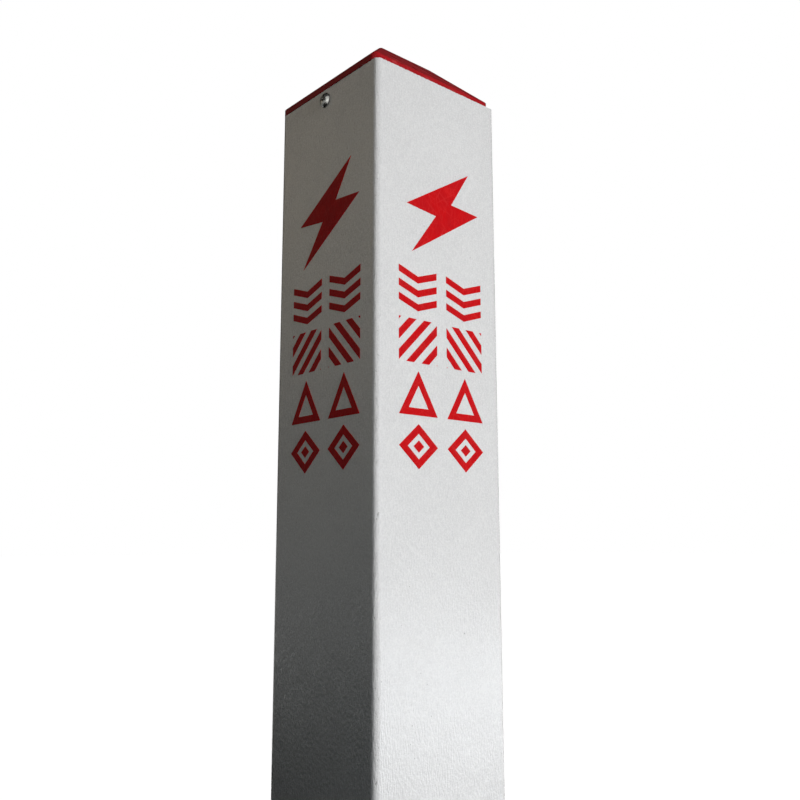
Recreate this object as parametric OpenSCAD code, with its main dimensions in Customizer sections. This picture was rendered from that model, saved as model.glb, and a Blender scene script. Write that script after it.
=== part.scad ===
// Marker post for a buried power cable: a square fibreglass tube that is
// set in the ground, closed at the top by a moulded cap held by two screws.
// The origin is the centre of the lower end, and +Z runs up the post.

/* [Post] */
// Outside width of the square post
post_w = 100; // [90:1:150]
// Length of the post, from the saw-cut lower end to the upper end
post_l = 1000; // [600:10:2000]
// Thickness of the post's wall
post_wall = 5; // [4:0.5:8]
// Radius of the post's outer corners
post_corner_r = 3.5; // [2:0.5:10]
// Radius of the corners inside the tube
bore_corner_r = 1.5; // [1:0.5:6]

/* [Cap] */
// Ledge of bare post outside the rim, on each side, where the cap sits in the middle
cap_ledge = 0.8; // [0.5:0.1:3]
// Height of the cap's upright rim
cap_rim_h = 3.9; // [2:0.1:12]
// Radius of the rim's corners, seen from above
cap_corner_r = 5; // [3:0.5:12]
// Height of the sloping roof above the rim
cap_roof_h = 25.9; // [12:0.1:45]
// Width of the flat top of the roof
cap_top_w = 43.6; // [20:0.1:70]
// Depth of the flat that eases each hip, taken off along the diagonal
hip_ease = 0.8; // [0.2:0.1:3]
// Thickness of the roof
cap_roof_t = 2.5; // [1.5:0.1:4]

// Play taken up towards the side face with the printed marks, as its screw draws the cap over
cap_shift_side = 1.3; // [0:0.1:1.4]
// Play taken up towards the back, away from the front face
cap_shift_back = 1.1; // [0:0.1:1.4]

/* [Skirt] */
// Play between the skirt and the inside of the tube, on each side of a cap in the middle
skirt_gap = 1.5; // [1.5:0.1:2]
// Depth to which the skirt reaches into the tube
skirt_depth = 30; // [20:1:60]
// Thickness of the skirt's wall
skirt_wall = 2.5; // [1.5:0.1:4]
// Height of the lead-in taper at the skirt's lower edge
lead_in_h = 4; // [1:0.5:8]
// Depth of the lead-in taper, taken off each side of the skirt
lead_in_d = 1; // [0.2:0.1:1.2]
// Thickness of the webs that stiffen the roof from corner to corner
web_t = 2; // [1:0.1:4]
// Depth to which the webs reach below the upper end of the post
web_depth = 4; // [0:0.5:15]

/* [Screws] */
// Distance of the screws below the upper end of the post
screw_drop = 7.5; // [6:0.5:20]
// Length of a screw under its head
screw_l = 13; // [12:0.5:25]
// Diameter of a screw over its thread
screw_d = 4.8; // [3:0.1:6]
// Diameter of a screw at the root of its thread
screw_core_d = 3.6; // [2:0.1:5]
// Length of a screw's point
screw_point_l = 3; // [1:0.5:5]
// Diameter of a screw's head
head_d = 9.5; // [6:0.1:12]
// Height of the upright edge of a screw's head
head_edge_h = 0.9; // [0.3:0.1:2]
// Height of the dome above the edge of a screw's head
head_dome_h = 2.3; // [1:0.1:4]
// Width across the cross recess
recess_w = 5; // [2:0.1:7]
// Width of one arm of the cross recess
recess_arm_w = 1.1; // [0.5:0.1:2]
// Depth of the cross recess below the top of the head
recess_depth = 2.2; // [0.5:0.1:3]
// Gap between a screw's thread and the hole in the post's wall
hole_gap = 0.25; // [0.1:0.05:1]
// Gap between a screw's core and its pilot hole in the cap
pilot_gap = 0.05; // [0.02:0.01:0.2]
// Wall of the boss around a pilot hole
boss_wall = 4; // [2:0.5:6]
// Length of a boss, inwards from the skirt
boss_l = 6; // [3:0.5:12]

/* [Print] */
// Thickness of the printed marks
print_t = 0.2; // [0.1:0.05:0.5]
// Width of the lightning bolt
bolt_w = 60; // [30:0.1:62]
// Height of the lightning bolt
bolt_h = 60.4; // [30:0.1:65]
// Distance from the upper end of the post to the top of the bolt
bolt_drop = 53.6; // [20:0.1:60]
// Sideways offset of the bolt from the middle of the print
bolt_offset = 2.4; // [-3:0.1:3]
// Distance from the upper end of the post to the top of the blocks
block_drop = 123.8; // [120:0.1:300]
// Width of one block
block_w = 29.9; // [15:0.1:30]
// Height of one block
block_h = 25.9; // [15:0.1:27]
// Gap between the two columns of blocks
column_gap = 8; // [2:0.1:8]
// Distance from one row of blocks to the next
row_pitch = 30.8; // [28:0.1:40]
// Width of the strokes in the blocks
stroke_w = 4.2; // [2:0.1:5]
// Sideways offset of the print on the front face
front_offset = 0.4; // [-3:0.1:3]
// Sideways offset of the print on the side face
side_offset = 1.4; // [-3:0.1:3]

/* [Hidden] */
arc_fn = 64;
// Reach of a cut past the face that it opens
through = 1;
// Length of a bar or a ridge that only has to reach past the post on every side
reach = 4 * post_w;
bore_w = post_w - 2 * post_wall;
cap_w = post_w - 2 * cap_ledge;
cap_h = cap_rim_h + cap_roof_h;
skirt_w = bore_w - 2 * skirt_gap;
skirt_in_w = skirt_w - 2 * skirt_wall;
skirt_corner_r = bore_corner_r;
// Slope of the roof, and where the inner faces of roof and top meet
roof_slope = atan2(cap_roof_h, (cap_w - cap_top_w) / 2);
top_in_w = cap_top_w - 2 * cap_roof_t * (1 - cos(roof_slope)) / sin(roof_slope);
top_in_z = cap_h - cap_roof_t;
screw_z = post_l - screw_drop;
hole_d = screw_d + 2 * hole_gap;
pilot_d = screw_core_d + 2 * pilot_gap;
boss_d = pilot_d + 2 * boss_wall;
thread_l = post_wall - hole_gap;
dome_r = (pow(head_d / 2, 2) + pow(head_dome_h, 2)) / (2 * head_dome_h);
column_pitch = block_w + column_gap;
bolt_z = post_l - bolt_drop - bolt_h;
frp_white = [0.90, 0.90, 0.89];
cap_red = [0.64, 0.10, 0.12];
ink_red = [0.80, 0.13, 0.13];
steel = [0.72, 0.72, 0.74];

// A square with rounded corners, as a flat outline
module rounded_square(w, r) {
    square([w, w - 2 * r], center = true);
    square([w - 2 * r, w], center = true);
    for (x = [-1, 1], y = [-1, 1])
        translate([x * (w / 2 - r), y * (w / 2 - r)])
            circle(r = r, $fn = arc_fn);
}

// Places a shape on two opposite sides at a distance from an axis, pointing outwards along Z
module on_sides(distance) {
    for (turn = [0, 180])
        rotate([0, 0, turn])
            translate([-distance, 0, 0])
                rotate([0, -90, 0])
                    children();
}

// Places a screw or its hole on the two side faces of the post, in line with the cap's bosses
module at_screws() {
    translate([0, cap_shift_back, screw_z])
        on_sides(post_w / 2) children();
}

// The pultruded tube, with clearance holes for the cap's screws
module post_tube() {
    color(frp_white)
        difference() {
            linear_extrude(post_l) rounded_square(post_w, post_corner_r);
            translate([0, 0, -through])
                linear_extrude(post_l + 2 * through)
                    rounded_square(bore_w, bore_corner_r);
            at_screws()
                translate([0, 0, -post_wall - through])
                    cylinder(d = hole_d, h = post_wall + 2 * through, $fn = arc_fn);
        }
}

// A ridge whose two sides lean in by the slope as it rises to this half-width and height
module ridge(top_half, top_z, slope) {
    foot_z = -skirt_depth - through;
    foot_half = top_half + (top_z - foot_z) / tan(slope);
    rotate([90, 0, 0])
        linear_extrude(reach, center = true)
            polygon([[-foot_half, foot_z], [foot_half, foot_z], [top_half, top_z], [-top_half, top_z]]);
}

// Two ridges that cross at right angles and so leave a roof with four hips
module hipped(top_w, top_z) {
    intersection() {
        ridge(top_w / 2, top_z, roof_slope);
        rotate([0, 0, 90]) ridge(top_w / 2, top_z, roof_slope);
    }
}

// The cap's outer form above the post: upright rim, sloping roof and eased hips
module cap_dome() {
    hip_half = cap_top_w / sqrt(2) - hip_ease;
    hip_slope = atan(tan(roof_slope) / sqrt(2));
    intersection() {
        linear_extrude(cap_h) rounded_square(cap_w, cap_corner_r);
        hipped(cap_top_w, cap_h);
        rotate([0, 0, 45]) ridge(hip_half, cap_h, hip_slope);
        rotate([0, 0, 135]) ridge(hip_half, cap_h, hip_slope);
    }
}

// The space inside the cap, from the open lower edge of the skirt to the roof
module cap_hollow() {
    intersection() {
        translate([0, 0, -skirt_depth - through])
            linear_extrude(skirt_depth + through + cap_h)
                rounded_square(skirt_in_w, skirt_corner_r);
        hipped(top_in_w, top_in_z);
    }
}

// The webs that cross under the roof from corner to corner
module cap_webs() {
    for (turn = [45, 135])
        rotate([0, 0, turn])
            translate([0, 0, (cap_h - web_depth) / 2])
                cube([reach, web_t, cap_h + web_depth], center = true);
}

// A bar as wide as the skirt, with its lower edges cut back for the lead-in
module lead_in_bar() {
    half = skirt_w / 2;
    rotate([90, 0, 0])
        linear_extrude(reach, center = true)
            polygon([
                [lead_in_d - half, -skirt_depth], [half - lead_in_d, -skirt_depth],
                [half + lead_in_d, 2 * lead_in_h - skirt_depth], [half + lead_in_d, cap_rim_h],
                [-half - lead_in_d, cap_rim_h], [-half - lead_in_d, 2 * lead_in_h - skirt_depth]
            ]);
}

// The part of the cap that plugs into the tube, joined to the rim from below
module skirt() {
    intersection() {
        translate([0, 0, -skirt_depth])
            linear_extrude(skirt_depth + cap_rim_h / 2)
                rounded_square(skirt_w, skirt_corner_r);
        lead_in_bar();
        rotate([0, 0, 90]) lead_in_bar();
    }
}

// Places a boss or its pilot hole on the inside of the skirt, pointing outwards along Z
module at_bosses() {
    translate([0, 0, -screw_drop])
        on_sides(skirt_in_w / 2) children();
}

// The moulded cap in its own frame: rim, hipped roof, skirt, webs and two screw bosses
module cap_moulding() {
    difference() {
        union() {
            difference() {
                union() {
                    cap_dome();
                    skirt();
                }
                difference() {
                    cap_hollow();
                    cap_webs();
                }
            }
            at_bosses()
                translate([0, 0, -boss_l])
                    cylinder(d = boss_d, h = boss_l + skirt_wall / 2, $fn = arc_fn);
        }
        at_bosses()
            translate([0, 0, -boss_l - through])
                cylinder(d = pilot_d, h = boss_l + skirt_wall + 2 * through, $fn = arc_fn);
    }
}

// The cap where it sits on the post
module cap() {
    color(cap_red)
        translate([-cap_shift_side, cap_shift_back, post_l])
            cap_moulding();
}

// One self-tapping screw: domed head with a cross recess, plain shank, core and point
module cap_screw() {
    difference() {
        union() {
            cylinder(d = head_d, h = head_edge_h, $fn = arc_fn);
            intersection() {
                translate([0, 0, head_edge_h + head_dome_h - dome_r])
                    sphere(r = dome_r, $fn = arc_fn);
                translate([0, 0, head_edge_h / 2])
                    cylinder(d = head_d, h = head_edge_h + head_dome_h, $fn = arc_fn);
            }
        }
        for (turn = [0, 90])
            rotate([0, 0, turn])
                translate([-recess_w / 2, -recess_arm_w / 2, head_edge_h + head_dome_h - recess_depth])
                    cube([recess_w, recess_arm_w, recess_depth + through]);
    }
    translate([0, 0, -thread_l])
        cylinder(d = screw_d, h = thread_l, $fn = arc_fn);
    translate([0, 0, screw_point_l - screw_l])
        cylinder(d = screw_core_d, h = screw_l - screw_point_l, $fn = arc_fn);
    translate([0, 0, -screw_l])
        cylinder(d1 = 0, d2 = screw_core_d, h = screw_point_l, $fn = arc_fn);
}

module cap_screws() {
    color(steel) at_screws() cap_screw();
}

// Turns a flat drawing into print on the front face, with its Z from the ground
module on_front() {
    color(ink_red)
        translate([front_offset, -post_w / 2, 0])
            rotate([90, 0, 0])
                linear_extrude(print_t) children();
}

// The same on the side face that carries the visible screw
module on_side() {
    color(ink_red)
        translate([-post_w / 2, -side_offset, 0])
            rotate([90, 0, -90])
                linear_extrude(print_t) children();
}

// The lightning bolt, drawn with its width along X and its height along Y
module bolt() {
    // Its corners, as shares of its width and height
    corners = [
        [0.865, 1.000], [0.611, 0.610], [1.000, 0.579],
        [0.064, 0.000], [0.394, 0.438], [0.000, 0.482]
    ];
    translate([bolt_offset - bolt_w / 2, bolt_z])
        polygon([for (p = corners) [p[0] * bolt_w, p[1] * bolt_h]]);
}

// Three bars that bend downwards
module chevron_block() {
    bend = block_h - 5 * stroke_w;
    for (level = [0:2])
        translate([0, 2 * level * stroke_w])
            polygon([
                [0, bend], [block_w / 2, 0], [block_w, bend],
                [block_w, bend + stroke_w], [block_w / 2, stroke_w], [0, bend + stroke_w]
            ]);
}

// Slanting bars that fill the block's outline
module stripe_block() {
    pitch = 2 * stroke_w;
    intersection() {
        square([block_w, block_h]);
        for (x = [-block_h - pitch / 2 : pitch * sqrt(2) : block_w])
            polygon([
                [x, 0], [x + stroke_w * sqrt(2), 0],
                [x + stroke_w * sqrt(2) + block_h, block_h], [x + block_h, block_h]
            ]);
    }
}

// A triangle frame that stands on its base
module triangle_block() {
    lean = atan2(block_h, block_w / 2);
    // Half-width that the frame's slanting stroke takes up at its foot
    foot = stroke_w / tan(lean / 2);
    difference() {
        polygon([[0, 0], [block_w, 0], [block_w / 2, block_h]]);
        polygon([
            [foot, stroke_w], [block_w - foot, stroke_w],
            [block_w / 2, block_h - stroke_w / cos(lean)]
        ]);
    }
}

// A diamond frame around a smaller diamond
module diamond_block() {
    // Half-width that the frame's stroke takes up, and that the gap inside it takes up
    frame = stroke_w / sin(atan2(block_h, block_w));
    clear = 0.7 * frame;
    translate([block_w / 2, block_h / 2]) {
        difference() {
            diamond(block_w / 2);
            diamond(block_w / 2 - frame);
        }
        diamond(block_w / 2 - frame - clear);
    }
}

// A diamond of the block's proportions, with this half-width
module diamond(half) {
    rise = half * block_h / block_w;
    polygon([[-half, 0], [0, -rise], [half, 0], [0, rise]]);
}

// One block, by its row
module block(row) {
    if (row == 0) chevron_block();
    if (row == 1) stripe_block();
    if (row == 2) triangle_block();
    if (row == 3) diamond_block();
}

// Two columns of four blocks, the right one a mirror image of the left
module blocks() {
    for (row = [0:3], side = [0, 1])
        mirror([side, 0])
            translate([-column_pitch / 2 - block_w / 2, post_l - block_drop - block_h - row * row_pitch])
                block(row);
}

module front_bolt() {
    on_front() bolt();
}

module side_bolt() {
    on_side() bolt();
}

module front_blocks() {
    on_front() blocks();
}

module side_blocks() {
    on_side() blocks();
}

post_tube();
cap();
cap_screws();
front_bolt();
side_bolt();
front_blocks();
side_blocks();
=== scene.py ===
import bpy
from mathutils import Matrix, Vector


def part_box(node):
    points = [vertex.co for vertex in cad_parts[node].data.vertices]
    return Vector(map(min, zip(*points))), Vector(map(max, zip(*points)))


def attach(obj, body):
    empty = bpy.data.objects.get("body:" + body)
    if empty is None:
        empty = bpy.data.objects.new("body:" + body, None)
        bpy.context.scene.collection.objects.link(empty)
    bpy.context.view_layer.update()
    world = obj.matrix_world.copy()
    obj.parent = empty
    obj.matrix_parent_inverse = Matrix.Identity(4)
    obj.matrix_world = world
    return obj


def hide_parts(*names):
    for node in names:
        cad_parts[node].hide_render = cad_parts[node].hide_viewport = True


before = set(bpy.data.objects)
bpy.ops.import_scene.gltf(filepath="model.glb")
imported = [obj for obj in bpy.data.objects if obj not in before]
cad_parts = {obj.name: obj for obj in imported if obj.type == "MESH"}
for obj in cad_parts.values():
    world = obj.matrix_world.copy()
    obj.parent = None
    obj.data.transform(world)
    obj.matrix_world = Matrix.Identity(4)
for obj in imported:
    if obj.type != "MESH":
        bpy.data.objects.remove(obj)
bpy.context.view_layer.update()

import math

import bmesh
import bpy
from bpy.props import FloatProperty, FloatVectorProperty, IntProperty, PointerProperty
from bpy.types import Operator, Panel, PropertyGroup
from mathutils import Matrix, Vector

bl_info = {
    "name": "Cable Marker Post",
    "version": (1, 0, 0),
    "blender": (4, 5, 0),
    "location": "View3D > Sidebar > Marker Post",
    "description": "Finishes a fibreglass marker post: tube, cap, screws, print and studio",
    "category": "Add Mesh",
}

MM = 0.001
BODY = "root"
POST_LOW, POST_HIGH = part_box("post_tube")
SCREW_LOW, SCREW_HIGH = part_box("cap_screws")
POST_WIDTH = POST_HIGH.x - POST_LOW.x
POST_LENGTH = POST_HIGH.z - POST_LOW.z
SCREW_HEIGHT = (SCREW_LOW.z + SCREW_HIGH.z) / 2
SCREW_LINE = (SCREW_LOW.y + SCREW_HIGH.y) / 2
HEAD_WIDTH = SCREW_HIGH.y - SCREW_LOW.y
HEAD_HEIGHT = SCREW_HIGH.x - POST_HIGH.x
CORNER_RADIUS = 3.5 * MM
BORE_CORNER_RADIUS = 1.5 * MM
POST_WALL = 5 * MM
# Distance along the unrolled surface from the front face's middle to where the side face's Y is zero
CORNER_RUN = POST_WIDTH - 2 * CORNER_RADIUS + CORNER_RADIUS * math.pi / 2

# Points closer than this are one point
WELD = 0.001 * MM
# Sides of a drilled or turned circle
ROUND_SIDES = 48


# Node trees

class Signal:
    """An output socket that adds Math nodes when it is used in an expression"""

    def __init__(self, graph, socket):
        self.graph = graph
        self.socket = socket

    def maths(self, operation, *values):
        return self.graph.node("ShaderNodeMath", {"operation": operation}, dict(enumerate(values)))

    def output(self, key):
        """Another output of the node that this signal comes from"""
        return Signal(self.graph, self.socket.node.outputs[key])

    def __add__(self, other):
        return self.maths("ADD", self, other)

    __radd__ = __add__

    def __sub__(self, other):
        return self.maths("SUBTRACT", self, other)

    def __rsub__(self, other):
        return self.maths("SUBTRACT", other, self)

    def __mul__(self, other):
        return self.maths("MULTIPLY", self, other)

    __rmul__ = __mul__

    def __truediv__(self, other):
        return self.maths("DIVIDE", self, other)

    def highest(self, other):
        return self.maths("MAXIMUM", self, other)

    def lowest(self, other):
        return self.maths("MINIMUM", self, other)

    def size(self):
        return self.maths("ABSOLUTE", self)

    def ramp(self, low, high, to_low=0.0, to_high=1.0):
        """Rises smoothly from to_low to to_high while the signal goes from low to high"""
        limits = {"Value": self, "From Min": low, "From Max": high, "To Min": to_low, "To Max": to_high}
        return self.graph.node("ShaderNodeMapRange", {"interpolation_type": "SMOOTHSTEP"}, limits)


class Graph:
    """A node tree, with one method that makes every node in it"""

    def __init__(self, tree):
        self.tree = tree
        tree.nodes.clear()

    def node(self, kind, settings=None, inputs=None, output=0):
        made = self.tree.nodes.new(kind)
        for name, value in (settings or {}).items():
            setattr(made, name, value)
        for key, value in (inputs or {}).items():
            if isinstance(value, Signal):
                self.tree.links.new(value.socket, made.inputs[key])
            else:
                made.inputs[key].default_value = value
        return Signal(self, made.outputs[output] if made.outputs else None)

    def vector(self, x, y, z=0.0):
        return self.node("ShaderNodeCombineXYZ", None, {0: x, 1: y, 2: z})

    def noise(self, place, scale=1.0, detail=0.0, roughness=0.5):
        inputs = {"Vector": place, "Scale": scale, "Detail": detail, "Roughness": roughness}
        return self.node("ShaderNodeTexNoise", {"noise_dimensions": "3D"}, inputs)

    def mix(self, factor, first, second):
        """A colour between first and second"""
        inputs = {"Factor": factor, 6: first, 7: second}
        return self.node("ShaderNodeMix", {"data_type": "RGBA"}, inputs, 2)


def material_graph(name):
    """A new material, and its empty node tree as a graph"""
    made = bpy.data.materials.new(name)
    made.use_nodes = True
    return made, Graph(made.node_tree)


def shade(graph, color, roughness, relief, **constants):
    """Ends a material: its varying colour, roughness and relief in millimetres, and its constants"""
    bump = {"Height": relief, "Distance": MM, "Strength": 1.0}
    inputs = {
        "Base Color": color,
        "Roughness": roughness,
        "Normal": graph.node("ShaderNodeBump", None, bump),
    }
    inputs.update({name.replace("_", " "): value for name, value in constants.items()})
    surface = graph.node("ShaderNodeBsdfPrincipled", None, inputs)
    graph.node("ShaderNodeOutputMaterial", None, {"Surface": surface})


def linear(color):
    """A colour written as a screen shows it, in the renderer's own terms"""
    return [*((c / 12.92 if c < 0.04045 else ((c + 0.055) / 1.055) ** 2.4) for c in color[:3]), 1.0]


def dimmed(color, share):
    """The same colour at a share of its brightness, and still opaque"""
    return [c * share for c in color[:3]] + [1.0]


# Finishes: noise scales are in cycles per metre, and reliefs are in millimetres

STRAND_LAYS = 7
# Angle of the first lay of strands, in radians
FIRST_LAY = 0.2
# The lays read the noise in slices this far apart
LAY_STEP = 3.7
# What strands that cross may add up to in the mask
STRAND_LIMIT = 1.6
# White of the glass strands: partly their own colour, partly a painted glint for the sheen that they catch
STRAND_GLINT_WHITE = (0.98, 0.98, 0.97)
GRIME = (0.42, 0.42, 0.38)
WORN_INK = (0.95, 0.30, 0.28)
SCUFFED_CAP = (0.86, 0.45, 0.45)


def strands(graph, around, up, angle, turn):
    """One lay of thin glass strands that run at one angle, as a mask"""
    sine, cosine = math.sin(angle), math.cos(angle)
    along = around * cosine + up * sine
    across = up * cosine - around * sine
    bend = graph.noise(graph.vector(around, up, turn), 45.0) * (4 * MM)
    place = graph.vector(along * 75.0, (across + bend) * 900.0, turn)
    return graph.noise(place).ramp(0.65, 0.80)


def glass_mat(graph, around, up):
    """The mat under the gelcoat: its strands, the streaks of the pull, and their relief"""
    mask, *others = [
        strands(graph, around, up, FIRST_LAY + math.pi * lay / STRAND_LAYS, LAY_STEP * lay)
        for lay in range(STRAND_LAYS)
    ]
    for lay in others:
        mask = mask + lay
    mask = mask.lowest(STRAND_LIMIT)
    place = graph.vector(around, up)
    dimple = graph.noise(place, 620.0, 2.0, 0.6)
    wave = graph.noise(place, 40.0, 1.0)
    streak = graph.noise(graph.vector(around * 1050.0, up * 240.0, 5.0), 1.0, 1.0)
    relief = mask * 0.015 + dimple * 0.16 + streak * 0.28 + wave * 0.25
    return mask, streak, relief


def fibreglass(finish):
    """White gelcoat over glass mat, read along the unrolled faces"""
    made, graph = material_graph("fibreglass")
    unrolled = graph.node("ShaderNodeUVMap", {"uv_map": "Unrolled"})
    around = graph.node("ShaderNodeSeparateXYZ", None, {0: unrolled}, "X")
    up = around.output("Y")
    mask, streak, relief = glass_mat(graph, around, up)
    cloud = graph.noise(graph.vector(around, up), 18.0, 2.0).ramp(0.3, 0.7)
    white = linear(finish.gelcoat)
    # Clouds and streaks darken the white. The clouds are the gelcoat's uneven tone, and the streaks'
    # darkening is partly painted shade for low light across their relief
    toned_and_shaded = dimmed(white, 0.915)
    color = graph.mix(cloud * 0.3 + streak.ramp(0.3, 0.7) * 0.7, toned_and_shaded, white)
    # Lightens the strands: partly their own colour, partly painted glints
    color = graph.mix(mask * 0.22, color, linear(STRAND_GLINT_WHITE))
    speck = graph.noise(graph.vector(around, up, 9.0), 640.0).ramp(0.86, 0.90)
    to_corner = (around.maths("PINGPONG", around, CORNER_RUN) - CORNER_RUN / 2).size()
    chip = graph.noise(graph.vector(around, up * 0.6, 7.0), 420.0, 3.0, 0.6).ramp(0.60, 0.70)
    worn = chip * to_corner.ramp(0.5 * MM, 3.5 * MM, 1.0, 0.0)
    color = graph.mix(speck * 0.5 + worn * 0.45, color, linear(GRIME))
    rough = graph.noise(graph.vector(around, up, 2.0), 950.0, 1.0).ramp(0.35, 0.68, 0.31, 0.13) + worn * 0.3
    shade(graph, color, rough - mask * 0.04, relief - worn * 0.12, IOR=1.58)
    return made


def ink(name, finish, axis):
    """Screen-printed red ink that follows the relief of the face that runs along this axis"""
    made, graph = material_graph(name)
    place = graph.node("ShaderNodeTexCoord", output="Object")
    along_face = graph.node("ShaderNodeSeparateXYZ", None, {0: place}, axis)
    around = along_face if axis == "X" else -CORNER_RUN - along_face
    up = along_face.output("Z")
    mask, streak, relief = glass_mat(graph, around, up)
    patch = graph.noise(graph.vector(around, up, 4.0), 90.0, 2.0).ramp(0.3, 0.7)
    full = linear(finish.ink)
    thin = [full[0] * 0.90, full[1] * 1.3, full[2] * 1.3, 1.0]
    color = graph.mix(patch, thin, full)
    color = graph.mix(mask * 0.10 + streak.ramp(0.5, 0.8) * 0.08, color, linear(WORN_INK))
    rough = graph.noise(graph.vector(around, up, 6.0), 300.0, 1.0).ramp(0.3, 0.7, 0.42, 0.55)
    shade(graph, color, rough, relief, IOR=1.5, Specular_IOR_Level=0.04)
    return made


def cap_plastic(finish):
    """Moulded plastic with handling scuffs and fine scratches"""
    made, graph = material_graph("cap_plastic")
    place = graph.node("ShaderNodeTexCoord", output="Object")
    scratch = graph.noise(graph.node("ShaderNodeMapping", None, {
        "Vector": place, "Rotation": (0.4, 0.2, 0.9), "Scale": (60.0, 2400.0, 900.0)})).ramp(0.68, 0.76)
    cloud = graph.noise(place, 60.0, 3.0).ramp(0.35, 0.65)
    scuff = graph.noise(place, 130.0, 4.0, 0.7).ramp(0.57, 0.68)
    full = linear(finish.cap)
    color = graph.mix(cloud, dimmed(full, 0.90), full)
    color = graph.mix(scuff * 0.18 + scratch * 0.12, color, linear(SCUFFED_CAP))
    rough = cloud * 0.05 + scuff * 0.16 + scratch * 0.08 + 0.26
    relief = graph.noise(place, 900.0, 2.0) * 0.008 - scratch * 0.006
    shade(graph, color, rough, relief, IOR=1.5, Specular_IOR_Level=0.03)
    return made


def screw_steel(finish):
    """Plated steel, a little duller in small clouds"""
    made, graph = material_graph("screw_steel")
    place = graph.node("ShaderNodeTexCoord", output="Object")
    cloud = graph.noise(place, 900.0, 3.0).ramp(0.3, 0.7)
    color = graph.mix(cloud, linear([c * 0.80 for c in finish.steel]), linear(finish.steel))
    relief = graph.noise(place, 1800.0, 2.0) * 0.01
    shade(graph, color, cloud * 0.14 + 0.20, relief, Metallic=1.0)
    return made


# Mesh helpers

def new_piece(name, mesh, slot, *nodes):
    """Makes the piece that stands for these CAD nodes and rides on the part's one body"""
    piece = bpy.data.objects.new(name, mesh)
    bpy.context.scene.collection.objects.link(piece)
    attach(piece, BODY)
    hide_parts(*nodes)


def scratch_object(name, mesh):
    """An object that modifiers or trees work with, and that goes before the scene is done"""
    made = bpy.data.objects.new(name, mesh)
    bpy.context.scene.collection.objects.link(made)
    return made


def settle(obj):
    """The object's evaluated mesh as a plain mesh. The object and its modifiers go."""
    bpy.context.view_layer.update()
    evaluated = obj.evaluated_get(bpy.context.evaluated_depsgraph_get())
    mesh = bpy.data.meshes.new_from_object(evaluated)
    bpy.data.objects.remove(obj)
    return mesh


def as_mesh(work, name):
    """Ends an edit: what was built in it, as a new mesh"""
    mesh = bpy.data.meshes.new(name)
    work.to_mesh(mesh)
    work.free()
    return mesh


def cut_out(mesh, bits):
    """The mesh with these closed meshes cut out of it in turn"""
    blank = scratch_object("blank", mesh)
    tools = [scratch_object("bit", bit) for bit in bits]
    for tool in tools:
        cut = blank.modifiers.new("cut", "BOOLEAN")
        cut.operation = "DIFFERENCE"
        cut.solver = "EXACT"
        cut.object = tool
    left = settle(blank)
    for tool in tools:
        bpy.data.objects.remove(tool)
    return left


def grow(tree, inputs, name):
    """Runs a geometry tree with these named inputs and gives the mesh that it makes"""
    carrier = scratch_object(name, bpy.data.meshes.new(name))
    modifier = carrier.modifiers.new(name, "NODES")
    modifier.node_group = tree
    for item in tree.interface.items_tree:
        if item.in_out == "INPUT" and item.name in inputs:
            modifier[item.identifier] = inputs[item.name]
    mesh = settle(carrier)
    mesh.name = name
    return mesh


def geometry_tree(name, sockets):
    """An empty geometry tree with these named inputs, as a graph and its input signals"""
    tree = bpy.data.node_groups.new(name, "GeometryNodeTree")
    tree.interface.new_socket("Geometry", in_out="OUTPUT", socket_type="NodeSocketGeometry")
    for label, kind in sockets.items():
        tree.interface.new_socket(label, in_out="INPUT", socket_type="NodeSocket" + kind)
    graph = Graph(tree)
    start = tree.nodes.new("NodeGroupInput")
    return graph, {label: Signal(graph, start.outputs[label]) for label in sockets}


def join(graph, *parts):
    """One geometry from several"""
    joined = graph.node("GeometryNodeJoinGeometry")
    for part in parts:
        graph.tree.links.new(part.socket, joined.socket.node.inputs[0])
    return joined


def finish_tree(graph, geometry, material):
    """Ends a geometry tree with real instances and a material"""
    real = graph.node("GeometryNodeRealizeInstances", None, {0: geometry})
    painted = graph.node("GeometryNodeSetMaterial", None, {"Geometry": real, "Material": material})
    graph.node("NodeGroupOutput", None, {0: painted})


# Post

# The saw moves points that lie this close to an end
SAWN_BAND = 0.1 * MM
# The tube's walls and ends join where their points lie this close
SEAM_WELD = 0.01 * MM
# Points round each corner before they are spaced evenly
CORNER_POINTS = 12


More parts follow.
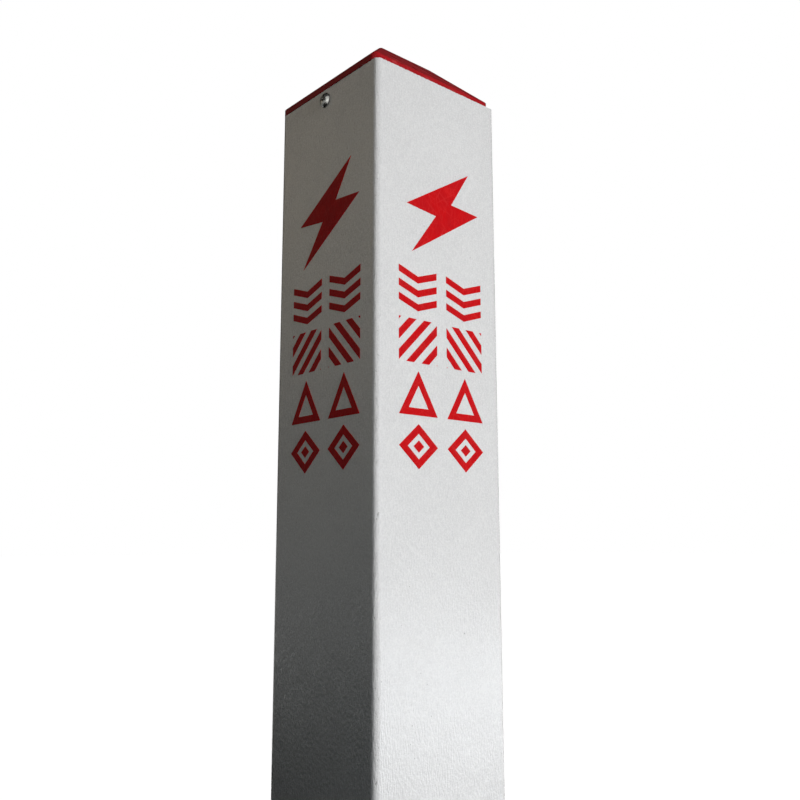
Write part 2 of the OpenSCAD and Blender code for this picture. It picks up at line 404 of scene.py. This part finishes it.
def tube_tree():
    """A square tube with rounded corners and two sawn ends, from its own sizes"""
    graph, size = geometry_tree("square_tube", {
        "Width": "Float", "Length": "Float", "Wall": "Float", "Outer Radius": "Float",
        "Inner Radius": "Float", "Step": "Float", "Saw Depth": "Float", "Material": "Material"})

    def outline(width, radius):
        """A square with rounded corners, with a point at every step"""
        sides = {"Width": width, "Height": width}
        square = graph.node("GeometryNodeCurvePrimitiveQuadrilateral", None, sides)
        corners = {"Curve": square, "Count": CORNER_POINTS, "Radius": radius}
        rounded = graph.node("GeometryNodeFilletCurve", {"mode": "POLY"}, corners)
        spacing = {"Curve": rounded, "Length": size["Step"]}
        return graph.node("GeometryNodeResampleCurve", {"mode": "LENGTH"}, spacing)

    def wall(curve):
        """Rises from the outline in three bands, so that only the end bands follow the saw"""
        mesh = graph.node("GeometryNodeCurveToMesh", None, {0: curve})
        top = True
        band = size["Step"] * 2.0
        for rise in (band, size["Length"] - 2.0 * band, band):
            offset = graph.vector(0.0, 0.0, rise)
            inputs = {"Mesh": mesh, "Selection": top, "Offset": offset, "Offset Scale": 1.0}
            mesh = graph.node("GeometryNodeExtrudeMesh", {"mode": "EDGES"}, inputs)
            top = mesh.output("Top")
        return mesh

    outer = outline(size["Width"], size["Outer Radius"])
    inner = outline(size["Width"] - 2.0 * size["Wall"], size["Inner Radius"])
    foot = graph.node("GeometryNodeFillCurve", None, {"Curve": join(graph, outer, inner)})
    lift = graph.vector(0.0, 0.0, size["Length"])
    head = graph.node("GeometryNodeTransform", None, {"Geometry": foot, "Translation": lift})
    parts = join(graph, wall(outer), wall(inner), foot, head)
    welded = graph.node("GeometryNodeMergeByDistance", None, {"Geometry": parts, "Distance": SEAM_WELD})

    place = graph.node("GeometryNodeInputPosition")
    up = graph.node("ShaderNodeSeparateXYZ", None, {0: place}, "Z")
    bite = graph.noise(place, 700.0, 2.0).ramp(0.35, 0.75) * size["Saw Depth"]
    near_foot = up.maths("LESS_THAN", up, SAWN_BAND)
    near_head = up.maths("GREATER_THAN", up, size["Length"] - SAWN_BAND)
    shift = graph.vector(0.0, 0.0, (near_foot - near_head) * bite)
    sawn = graph.node("GeometryNodeSetPosition", None, {"Geometry": welded, "Offset": shift})
    finish_tree(graph, sawn, size["Material"])
    return graph.tree


def unrolled_run(x, y):
    """How far a point of the outside lies from the front face's middle, along the surface"""
    flat = POST_WIDTH / 2 - CORNER_RADIUS
    angle = math.atan2(y, x)
    quarter = round((angle + math.pi / 2) / (math.pi / 2)) % 4
    turned = Matrix.Rotation(-quarter * math.pi / 2, 2) @ Vector((x, y))
    run = max(-flat, min(flat, turned.x))
    beyond = abs(turned.x) - flat
    if beyond > 0:
        arc = math.atan2(beyond, -turned.y - flat) * CORNER_RADIUS
        run += math.copysign(arc, turned.x)
    turns = quarter - 4 if quarter >= 2 else quarter
    return run + turns * CORNER_RUN


def unroll(mesh):
    """Gives the tube a map in metres: round the outside, and up"""
    layer = mesh.uv_layers.new(name="Unrolled")
    whole = 4 * CORNER_RUN
    for polygon in mesh.polygons:
        places = [mesh.vertices[mesh.loops[i].vertex_index].co for i in polygon.loop_indices]
        runs = [unrolled_run(place.x, place.y) for place in places]
        wrapped = max(runs) - min(runs) > whole / 2
        for i, run, place in zip(polygon.loop_indices, runs, places):
            layer.data[i].uv = (run + whole if wrapped and run < 0 else run, place.z)


def drill(mesh, radius):
    """Cuts the two clearance holes for the screws through the side walls"""
    work = bmesh.new()
    reach = 1.2 * POST_WIDTH
    turn = Matrix.Translation((0, SCREW_LINE, SCREW_HEIGHT)) @ Matrix.Rotation(math.pi / 2, 4, "Y")
    bmesh.ops.create_cone(work, cap_ends=True, segments=ROUND_SIDES, radius1=radius, radius2=radius,
                          depth=reach, matrix=turn)
    return cut_out(mesh, [as_mesh(work, "drill")])


def outward(mesh):
    """Turns the faces of a closed mesh outwards"""
    work = bmesh.new()
    work.from_mesh(mesh)
    bmesh.ops.remove_doubles(work, verts=work.verts, dist=WELD)
    bmesh.ops.recalc_face_normals(work, faces=work.faces)
    work.to_mesh(mesh)
    work.free()
    return mesh


def smooth_by_angle(mesh, angle):
    """Shades smooth, with sharp edges where faces meet at more than the angle"""
    work = bmesh.new()
    work.from_mesh(mesh)
    for face in work.faces:
        face.smooth = True
    for edge in work.edges:
        edge.smooth = len(edge.link_faces) == 2 and edge.calc_face_angle(0.0) < angle
    work.to_mesh(mesh)
    work.free()


# Cap

def outer_faces(work, low):
    """The faces of the cap that lie on the hull of what stands above the post"""
    margin = 0.01 * MM
    points = [v.co for v in work.verts if v.co.z > low - margin]
    faces = set()
    for face in work.faces:
        if face.calc_center_median().z > low + margin:
            level = face.normal.dot(face.verts[0].co)
            if all(face.normal.dot(p) < level + margin for p in points):
                faces.add(face)
    return faces


def eased_cap(node, radius):
    """The cap's solid, with the edges of its roof and rim rounded as a mould leaves them"""
    work = bmesh.new()
    work.from_mesh(node.data)
    flat, sharp = math.radians(0.2), math.radians(12)
    bmesh.ops.remove_doubles(work, verts=work.verts, dist=WELD)
    bmesh.ops.dissolve_limit(work, angle_limit=flat, verts=work.verts, edges=work.edges)
    work.normal_update()
    outside = outer_faces(work, POST_HIGH.z)
    edges = [
        edge for edge in work.edges
        if len(edge.link_faces) == 2 and set(edge.link_faces) <= outside and edge.calc_face_angle() > sharp
    ]
    bmesh.ops.bevel(work, geom=edges, offset=radius, segments=4, profile=0.5, affect="EDGES",
                    clamp_overlap=True)
    return as_mesh(work, "cap_shell")


# Screws

# Chamfer under a head
HEAD_CHAMFER = 0.15 * MM
# How far below the dome the upright edge begins to turn in
HEAD_EASE = 0.1 * MM
# How far past the head the cutter of its recess reaches
RECESS_REACH = 1 * MM


def lathe(work, profile, steps):
    """Turns a profile of (radius, height) points round Z into a closed solid"""
    rings = []
    for radius, height in profile:
        if radius == 0:
            rings.append([work.verts.new((0, 0, height))])
            continue
        turns = [2 * math.pi * i / steps for i in range(steps)]
        rings.append([work.verts.new((radius * math.cos(t), radius * math.sin(t), height)) for t in turns])
    for low, high in zip(rings, rings[1:]):
        for i in range(steps):
            j = (i + 1) % steps
            corners = [low[i % len(low)], low[j % len(low)], high[j % len(high)], high[i % len(high)]]
            work.faces.new(list(dict.fromkeys(corners)))


def screw_profile(size):
    """From the point up the shank, under the head and over its dome"""
    head, core, shank = HEAD_WIDTH / 2, size.core / 2, size.thread / 2
    dome = HEAD_HEIGHT - size.edge
    ball = (head ** 2 + dome ** 2) / (2 * dome)
    arc = math.asin(head / ball)
    steps = 12
    over = []
    for i in range(1, steps):
        lean = arc * (1 - i / steps)
        over.append((ball * math.sin(lean), HEAD_HEIGHT - ball + ball * math.cos(lean)))
    return [
        (0, -size.length), (core, size.tip - size.length), (core, -size.grip), (shank, -size.grip),
        (shank, 0), (head - HEAD_CHAMFER, 0), (head, HEAD_CHAMFER), (head, size.edge - HEAD_EASE),
        *over, (0, HEAD_HEIGHT)]


def recess_arm(size, turn):
    """What one arm of the cross recess takes out of a head, narrower at its floor"""
    work = bmesh.new()
    mouth, foot, half = size.cross / 2, size.cross / 5, size.arm / 2
    corners = []
    for reach, height in ((foot, HEAD_HEIGHT - size.recess), (mouth, HEAD_HEIGHT + RECESS_REACH)):
        for x, y in ((-1, -1), (1, -1), (1, 1), (-1, 1)):
            corners.append(work.verts.new((x * reach, y * half, height)))
    for i, j in ((0, 1), (1, 2), (2, 3), (3, 0)):
        work.faces.new([corners[i], corners[j], corners[j + 4], corners[i + 4]])
    work.faces.new(corners[3::-1])
    work.faces.new(corners[4:])
    bmesh.ops.rotate(work, cent=(0, 0, 0), matrix=Matrix.Rotation(turn, 3, "Z"), verts=work.verts)
    bmesh.ops.recalc_face_normals(work, faces=work.faces)
    return as_mesh(work, "recess_arm")


def screw_mesh(size):
    """One screw along Z, with its cross recess cut into the dome"""
    work = bmesh.new()
    lathe(work, screw_profile(size), ROUND_SIDES)
    bmesh.ops.recalc_face_normals(work, faces=work.faces)
    return cut_out(as_mesh(work, "screw"), [recess_arm(size, turn) for turn in (0, math.pi / 2)])


def screws_tree():
    """Puts screws at even turns round the post, each with its head outwards"""
    graph, size = geometry_tree("cap_screws", {
        "Screw": "Object", "Count": "Int", "Half Width": "Float", "Line": "Float",
        "Height": "Float", "Spin": "Float", "Material": "Material"})
    index = graph.node("GeometryNodeInputIndex")
    turn = index * 2.0 * math.pi / size["Count"] + math.pi
    x = turn.maths("COSINE", turn) * size["Half Width"]
    y = turn.maths("SINE", turn) * size["Half Width"] + size["Line"]
    spots = {"Count": size["Count"], "Position": graph.vector(x, y, size["Height"])}
    points = graph.node("GeometryNodePoints", None, spots)
    screw = graph.node("GeometryNodeObjectInfo", None, {"Object": size["Screw"]}, output="Geometry")
    placed = graph.node("GeometryNodeInstanceOnPoints", None, {
        "Points": points, "Instance": screw, "Rotation": graph.vector(0.0, math.pi / 2, turn)})
    spin = graph.vector(0.0, 0.0, size["Spin"] * (index + 1.0))
    turned = graph.node("GeometryNodeRotateInstances", None, {"Instances": placed, "Rotation": spin})
    finish_tree(graph, turned, size["Material"])
    return graph.tree


# Studio

# For each lamp, by its setting: where it stands, where it faces, its width and height, and its colour
LAMPS = {
    "key": ((0.12, -1.25, 0.86), (0.0, -0.05, 0.82), 0.8, 0.5, (0.985, 0.985, 1.0)),
    "fill": ((-1.1, -0.2, 1.04), (-0.05, 0.0, 1.04), 0.8, 0.38, (1.0, 0.93, 0.80)),
    "cool": ((-0.3, -0.38, 0.7), (-0.05, -0.05, 0.7), 0.12, 0.5, (0.45, 0.75, 1.0)),
    "sheen": ((0.83, -0.91, 0.42), (0.0, -0.05, 0.60), 1.0, 0.20, (0.9, 0.95, 1.0)),
    "back": ((1.7, 1.7, 1.2), (0.0, 0.0, 0.6), 1.0, 1.0, (1.0, 1.0, 1.0)),
    "glint": ((-0.44, -0.275, 0.9), (-0.05, -0.05, 0.85), 0.45, 0.9, (1.0, 1.0, 1.0)),
}
# The lamps that only a gloss shows. The others light what is matt, and no gloss shows them.
GLOSS_LAMPS = ("sheen", "glint")
FLOOR_REACH = 40.0
CLEAR_WHITE = (1, 1, 1, 1)


def panel_light(name, place, target, width, height, color, power):
    """A soft rectangular lamp, turned to where it faces and hidden from the camera"""
    data = bpy.data.lights.new(name, "AREA")
    data.shape = "RECTANGLE"
    data.size = width
    data.size_y = height
    data.energy = power
    data.color = color
    lamp = bpy.data.objects.new(name, data)
    bpy.context.scene.collection.objects.link(lamp)
    lamp.location = place
    lamp.rotation_mode = "QUATERNION"
    lamp.rotation_quaternion = (Vector(target) - Vector(place)).to_track_quat("-Z", "Y")
    lamp.visible_camera = False
    lamp.visible_glossy = name in GLOSS_LAMPS
    lamp.visible_diffuse = name not in GLOSS_LAMPS


def who_looks(graph):
    """Two masks: rays from the camera, straight or through what is clear, and rays from a gloss"""
    camera = graph.node("ShaderNodeLightPath", output="Is Camera Ray")
    return camera.highest(camera.output("Is Transmission Ray")), camera.output("Is Glossy Ray")


def build_world(ambient):
    """White for the camera, white low down and dark overhead in a gloss, and dim for soft light"""
    world = bpy.data.worlds.new("studio")
    bpy.context.scene.world = world
    world.use_nodes = True
    graph = Graph(world.node_tree)
    way = graph.node("ShaderNodeTexCoord", output="Generated")
    rise = graph.node("ShaderNodeSeparateXYZ", None, {0: way}, "Z")
    seen, mirrored = who_looks(graph)
    strength = seen.highest(mirrored * rise.ramp(-0.02, 0.05, 1.0, 0.04)).highest(ambient)
    sky = graph.node("ShaderNodeBackground", None, {"Color": CLEAR_WHITE, "Strength": strength})
    graph.node("ShaderNodeOutputWorld", None, {"Surface": sky})


def floor_material():
    """Pale floor that turns white away from the post, keeps its shadows, and dims in a gloss far off"""
    made, graph = material_graph("floor")
    place = graph.node("ShaderNodeTexCoord", output="Object")
    away = graph.node("ShaderNodeVectorMath", {"operation": "LENGTH"}, {0: place}, "Value")
    seen, mirrored = who_looks(graph)
    far = away.ramp(5.0, 22.0, 1.0, 0.1)
    glow = seen.highest(mirrored * far) * away.ramp(0.9, 1.9, 0.78, 1.0)
    white = graph.node("ShaderNodeEmission", None, {"Color": CLEAR_WHITE, "Strength": glow})
    pale = graph.node("ShaderNodeBsdfDiffuse", None, {"Color": (0.30, 0.30, 0.30, 1)})
    both = graph.node("ShaderNodeAddShader", None, {0: white, 1: pale})
    graph.node("ShaderNodeOutputMaterial", None, {"Surface": both})
    return made


def haze_material(strength):
    """Glows more strongly and more warmly with height"""
    made, graph = material_graph("haze")
    place = graph.node("ShaderNodeTexCoord", output="Object")
    up = graph.node("ShaderNodeSeparateXYZ", None, {0: place}, "Z")
    glow = (up.ramp(0.15, 0.65, 0.0, 0.42) + up.ramp(0.9, 1.8, 0.0, 0.5)) * strength
    color = graph.mix(up.ramp(0.6, 1.6), (0.97, 1.0, 0.99, 1), (1.0, 0.86, 0.66, 1))
    light = graph.node("ShaderNodeEmission", None, {"Color": color, "Strength": glow})
    graph.node("ShaderNodeOutputMaterial", None, {"Surface": light})
    return made


def level_corners(low, high, z):
    """Corners of a level sheet that reaches from one point (x, y) to another"""
    (x0, y0), (x1, y1) = low, high
    return [(x0, y0, z), (x1, y0, z), (x1, y1, z), (x0, y1, z)]


def upright_corners(x, low, high):
    """Corners of an upright sheet across X that reaches from one point (y, z) to another"""
    (y0, z0), (y1, z1) = low, high
    return [(x, y0, z0), (x, y1, z0), (x, y1, z1), (x, y0, z1)]


def flat_sheet(name, corners, material):
    """A four-cornered sheet of the studio, which isn't part of the post"""
    mesh = bpy.data.meshes.new(name)
    mesh.from_pydata(corners, [], [(0, 1, 2, 3)])
    mesh.materials.append(material)
    sheet = bpy.data.objects.new(name, mesh)
    bpy.context.scene.collection.objects.link(sheet)
    return sheet


def set_cards():
    """Two dark cards that the camera doesn't see, beside the lower side face: one lies, one stands"""
    dark, graph = material_graph("dark_card")
    matt = graph.node("ShaderNodeBsdfDiffuse", None, {"Color": (0.02, 0.02, 0.02, 1)})
    graph.node("ShaderNodeOutputMaterial", None, {"Surface": matt})
    ground = flat_sheet("ground_card", level_corners((-2.5, -1.2), (-0.08, 3.0), 0.004), dark)
    ground.visible_camera = False
    ground.visible_shadow = False
    flag = flat_sheet("flag", upright_corners(-0.55, (-0.7, 0.2), (0.4, 0.83)), dark)
    flag.visible_camera = False


def set_haze(strength):
    """A dim upright sheet that only shows in the side face's gloss"""
    haze = flat_sheet("haze", upright_corners(-1.1, (0.7, 0.0), (3.0, 2.3)), haze_material(strength))
    haze.visible_camera = False
    haze.visible_diffuse = False
    haze.visible_shadow = False


def place_camera(view):
    """The photograph's viewpoint: where it stands, which way it faces and how wide it sees"""
    data = bpy.data.cameras.new("camera")
    data.sensor_width = 36.0
    data.lens = view.lens
    data.clip_start = 0.01
    camera = bpy.data.objects.new("camera", data)
    bpy.context.scene.collection.objects.link(camera)
    turn, pitch, roll = view.heading, view.pitch, view.roll
    ahead = Vector((-math.sin(turn) * math.cos(pitch), math.cos(turn) * math.cos(pitch), math.sin(pitch)))
    level = Vector((math.cos(turn), math.sin(turn), 0.0))
    above = level.cross(ahead)
    right = math.cos(roll) * level + math.sin(roll) * above
    upright = math.cos(roll) * above - math.sin(roll) * level
    axes = Matrix((right, upright, -ahead)).transposed()
    camera.matrix_world = Matrix.Translation(view.place) @ axes.to_4x4()
    bpy.context.scene.camera = camera


# Settings

class FinishSettings(PropertyGroup):
    gelcoat: FloatVectorProperty(
        name="Gelcoat", description="Colour of the post", subtype="COLOR", default=(0.91, 0.91, 0.905))
    ink: FloatVectorProperty(
        name="Ink", description="Colour of the print", subtype="COLOR", default=(0.81, 0.075, 0.095))
    cap: FloatVectorProperty(
        name="Cap", description="Colour of the moulded cap", subtype="COLOR", default=(0.68, 0.125, 0.145))
    steel: FloatVectorProperty(
        name="Steel", description="Colour of the screws", subtype="COLOR", default=(0.66, 0.66, 0.64))


class PostSettings(PropertyGroup):
    step: FloatProperty(
        name="Step", description="Spacing of the points round the tube",
        subtype="DISTANCE", default=1.0 * MM)
    saw_depth: FloatProperty(
        name="Saw depth", description="How far the saw's teeth bite unevenly into the ends",
        subtype="DISTANCE", default=0.5 * MM)
    hole: FloatProperty(
        name="Hole radius", description="Radius of the screw holes", subtype="DISTANCE", default=2.65 * MM)


class CapSettings(PropertyGroup):
    edge: FloatProperty(
        name="Edge radius", description="Rounding of the moulded edges",
        subtype="DISTANCE", default=1.1 * MM)


class ScrewSettings(PropertyGroup):
    count: IntProperty(name="Count", description="Screws round the post", default=2)
    length: FloatProperty(
        name="Length", description="Length under the head", subtype="DISTANCE", default=13 * MM)
    thread: FloatProperty(
        name="Thread", description="Diameter over the thread", subtype="DISTANCE", default=4.8 * MM)
    core: FloatProperty(
        name="Core", description="Diameter at the thread's root", subtype="DISTANCE", default=3.6 * MM)
    grip: FloatProperty(
        name="Grip", description="Length of the full shank", subtype="DISTANCE", default=4.75 * MM)
    tip: FloatProperty(name="Tip", description="Length of the point", subtype="DISTANCE", default=3 * MM)
    edge: FloatProperty(
        name="Edge", description="Height of the head's upright edge", subtype="DISTANCE", default=0.9 * MM)
    cross: FloatProperty(
        name="Cross", description="Width across the recess", subtype="DISTANCE", default=5.4 * MM)
    arm: FloatProperty(
        name="Arm", description="Width of one arm of the recess", subtype="DISTANCE", default=1.2 * MM)
    recess: FloatProperty(
        name="Recess", description="Depth of the recess", subtype="DISTANCE", default=2.3 * MM)
    spin: FloatProperty(
        name="Spin", description="Turn of each screw's recess", subtype="ANGLE", default=0.6)


class StageSettings(PropertyGroup):
    place: FloatVectorProperty(
        name="Place", description="Where the camera stands", subtype="XYZ",
        default=(-0.34952, -0.41401, 0.71821))
    heading: FloatProperty(
        name="Heading", description="Turn of the camera from +Y", subtype="ANGLE", default=-0.7162)
    pitch: FloatProperty(
        name="Pitch", description="Tilt of the camera above level", subtype="ANGLE", default=0.1604)
    roll: FloatProperty(name="Roll", description="Lean of the camera", subtype="ANGLE", default=-0.0017)
    lens: FloatProperty(name="Lens", description="Focal length in millimetres", default=38.954)
    key: FloatProperty(name="Key", description="Power of the front lamp", subtype="POWER", default=14.2)
    fill: FloatProperty(name="Fill", description="Power of the side lamp", subtype="POWER", default=0.8)
    cool: FloatProperty(
        name="Cool", description="Power of the lamp by the near corner", subtype="POWER", default=0.05)
    sheen: FloatProperty(
        name="Sheen", description="Power of the low lamp that only shows in the front's gloss",
        subtype="POWER", default=2.4)
    haze: FloatProperty(
        name="Haze", description="Glow of the sheet that only shows in the side face's gloss", default=1.0)
    glint: FloatProperty(
        name="Glint", description="Power of the lamp that only shows in the near corner's gloss",
        subtype="POWER", default=1.9)
    back: FloatProperty(name="Back", description="Power of the lamp behind", subtype="POWER", default=12.0)
    ambient: FloatProperty(name="Ambient", description="Soft light from all round", default=0.03)


# Operators

class MARKER_OT_post(Operator):
    """Build the fibreglass tube with its sawn ends and screw holes"""
    bl_idname = "marker_post.post"
    bl_label = "Build Post"

    def execute(self, context):
        size = context.scene.marker_post
        sizes = {
            "Width": POST_WIDTH, "Length": POST_LENGTH, "Wall": POST_WALL,
            "Outer Radius": CORNER_RADIUS, "Inner Radius": BORE_CORNER_RADIUS,
            "Step": size.step, "Saw Depth": size.saw_depth,
            "Material": fibreglass(context.scene.marker_finish),
        }
        mesh = outward(grow(tube_tree(), sizes, "post_shell"))
        mesh = drill(mesh, size.hole)
        unroll(mesh)
        smooth_by_angle(mesh, math.radians(35))
        new_piece("post_shell", mesh, "fibreglass", "post_tube")
        return {"FINISHED"}


class MARKER_OT_cap(Operator):
    """Build the moulded cap with rounded edges"""
    bl_idname = "marker_post.cap"
    bl_label = "Build Cap"

    def execute(self, context):
        mesh = eased_cap(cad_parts["cap"], context.scene.marker_cap.edge)
        smooth_by_angle(mesh, math.radians(25))
        mesh.materials.clear()
        mesh.materials.append(cap_plastic(context.scene.marker_finish))
        new_piece("cap_shell", mesh, "cap_plastic", "cap")
        return {"FINISHED"}


class MARKER_OT_screws(Operator):
    """Build the screws that hold the cap"""
    bl_idname = "marker_post.screws"
    bl_label = "Build Screws"

    def execute(self, context):
        size = context.scene.marker_screws
        pattern = scratch_object("screw", screw_mesh(size))
        inputs = {
            "Screw": pattern, "Count": size.count, "Half Width": POST_WIDTH / 2,
            "Line": SCREW_LINE, "Height": SCREW_HEIGHT, "Spin": size.spin,
            "Material": screw_steel(context.scene.marker_finish),
        }
        mesh = grow(screws_tree(), inputs, "screw_set")
        bpy.data.objects.remove(pattern)
        smooth_by_angle(mesh, math.radians(30))
        new_piece("screw_set", mesh, "screw_steel", "cap_screws")
        return {"FINISHED"}


class MARKER_OT_print(Operator):
    """Ink the printed bolts and blocks"""
    bl_idname = "marker_post.print"
    bl_label = "Ink Print"

    def execute(self, context):
        finish = context.scene.marker_finish
        for face, axis in (("front", "X"), ("side", "Y")):
            material = ink(face + "_ink", finish, axis)
            for mark in ("bolt", "blocks"):
                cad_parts[face + "_" + mark].material_slots[0].material = material
        return {"FINISHED"}


class MARKER_OT_stage(Operator):
    """Set the camera, the world, the floor, the cards, the haze and the lamps"""
    bl_idname = "marker_post.stage"
    bl_label = "Set Stage"

    def execute(self, context):
        view = context.scene.marker_stage
        place_camera(view)
        build_world(view.ambient)
        floor = level_corners((-FLOOR_REACH, -FLOOR_REACH), (FLOOR_REACH, FLOOR_REACH), 0)
        flat_sheet("floor", floor, floor_material())
        set_cards()
        set_haze(view.haze)
        for name, lamp in LAMPS.items():
            panel_light(name, *lamp, getattr(view, name))
        context.scene.view_settings.view_transform = "Standard"
        return {"FINISHED"}


class MARKER_PT_panel(Panel):
    """Lists the settings and steps in the sidebar"""
    bl_idname = "MARKER_PT_panel"
    bl_label = "Marker Post"
    bl_space_type = "VIEW_3D"
    bl_region_type = "UI"
    bl_category = "Marker Post"

    def draw(self, context):
        for group in GROUPS:
            box = self.layout.box()
            settings = getattr(context.scene, group)
            for name in settings.bl_rna.properties.keys():
                if name not in ("rna_type", "name"):
                    box.prop(settings, name)
        for step in STEPS:
            self.layout.operator(step.bl_idname)


GROUPS = {
    "marker_finish": FinishSettings,
    "marker_post": PostSettings,
    "marker_cap": CapSettings,
    "marker_screws": ScrewSettings,
    "marker_stage": StageSettings,
}
STEPS = (MARKER_OT_post, MARKER_OT_cap, MARKER_OT_screws, MARKER_OT_print, MARKER_OT_stage)


def register():
    for settings in GROUPS.values():
        bpy.utils.register_class(settings)
    for name, settings in GROUPS.items():
        setattr(bpy.types.Scene, name, PointerProperty(type=settings))
    for step in (*STEPS, MARKER_PT_panel):
        bpy.utils.register_class(step)


def unregister():
    for step in reversed((*STEPS, MARKER_PT_panel)):
        bpy.utils.unregister_class(step)
    for name, settings in GROUPS.items():
        delattr(bpy.types.Scene, name)
        bpy.utils.unregister_class(settings)


def main():
    """Builds the whole model"""
    register()
    bpy.ops.marker_post.post()
    bpy.ops.marker_post.cap()
    bpy.ops.marker_post.screws()
    bpy.ops.marker_post.print()
    bpy.ops.marker_post.stage()


if __name__ == "__main__":
    main()
